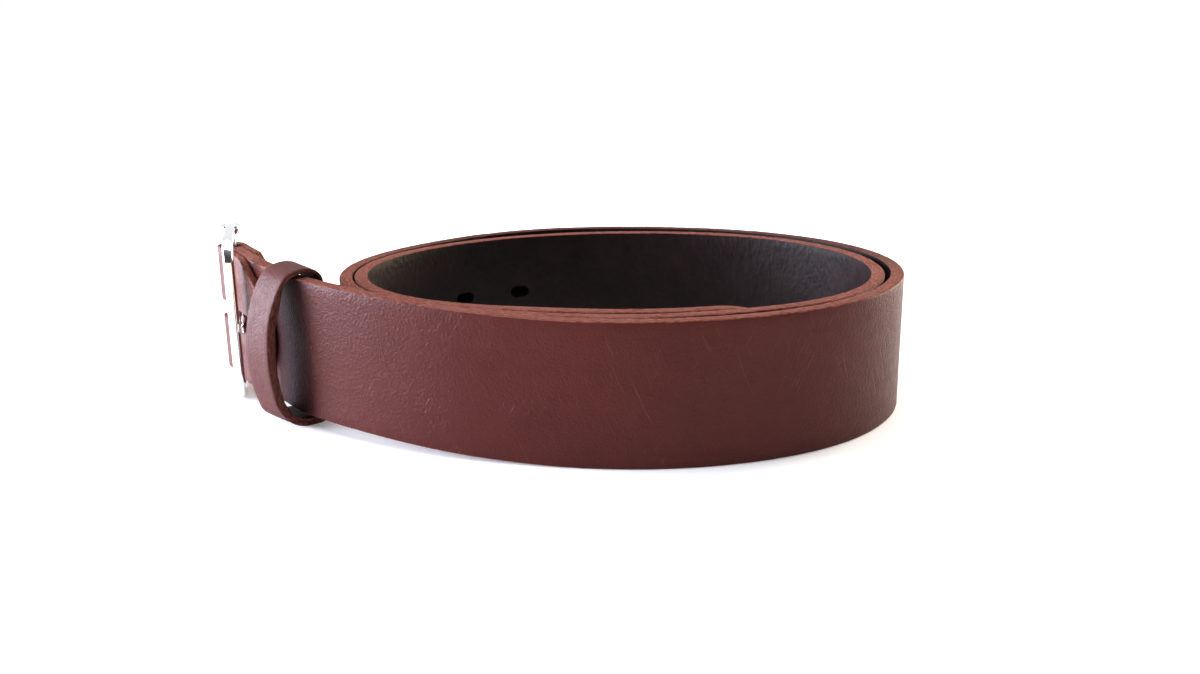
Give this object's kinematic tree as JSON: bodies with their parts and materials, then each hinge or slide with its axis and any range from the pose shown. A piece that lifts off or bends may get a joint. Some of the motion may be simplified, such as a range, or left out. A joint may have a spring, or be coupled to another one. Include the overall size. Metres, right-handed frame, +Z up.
{
  "type": "leather belt",
  "caption": "Leather belt standing on its edge in an oval coil, with a pointed end, a leather keeper loop and a metal prong buckle folded back.",
  "frame": {"origin": "centre of the belt's footprint on the table it stands on", "axes": "+Z up, along the strap's width; the straight buckle end runs along -X and its grain side faces -Y"},
  "size_m": [0.1474, 0.1569, 0.044],
  "materials": {
    "strap_leather": "smooth reddish-brown grain side, dark flesh side, raw edges",
    "tab_leather": "smooth reddish-brown",
    "keeper_leather": "smooth reddish-brown",
    "polished_nickel": "polished",
    "heel_bar_steel": "turned",
    "prong_nickel": "polished",
    "screw_post_nickel": "satin",
    "screw_nickel": "satin, slotted",
    "staple_steel": "drawn wire"
  },
  "bodies": {
    "coil": {"strap_coil": "strap_leather"},
    "buckle_end": {"strap_buckle_end": "strap_leather", "buckle_tab": "tab_leather", "screw_post_upper": "screw_post_nickel", "screw_post_lower": "screw_post_nickel", "screw_upper": "screw_nickel", "screw_lower": "screw_nickel"},
    "keeper": {"keeper_band": "keeper_leather", "keeper_staple": "staple_steel"},
    "prong": {"prong": "prong_nickel"},
    "frame": {"buckle_frame": "polished_nickel", "heel_bar": "heel_bar_steel"},
    "tail": {"strap_tail": "strap_leather"}
  },
  "joints": [
    {"name": "buckle_end_flex", "type": "hinge", "parent": "coil", "child": "buckle_end", "pos_m": [-0.00066, -0.06378, 0.02], "axis": [0, 0, 1], "range_deg": [0, 35], "stiffness_Nm_per_rad": 0.05},
    {"name": "tail_flex", "type": "hinge", "parent": "coil", "child": "tail", "pos_m": [0.04348, -0.01807, 0.0175], "axis": [0, 0, 1], "range_deg": [0, 40], "stiffness_Nm_per_rad": 0.02},
    {"name": "prong_swing", "type": "hinge", "parent": "buckle_end", "child": "prong", "pos_m": [-0.06977, -0.06597, 0.0208], "axis": [0, 0, -1], "range_deg": [0, 160]},
    {"name": "frame_swing", "type": "hinge", "parent": "prong", "child": "frame", "pos_m": [-0.06977, -0.06597, 0.0208], "axis": [0, 0, -1], "range_deg": [0, 120]},
    {"name": "keeper_slide", "type": "slide", "parent": "buckle_end", "child": "keeper", "axis": [-1, 0, 0], "range_m": [0, 0.012]}
  ]
}
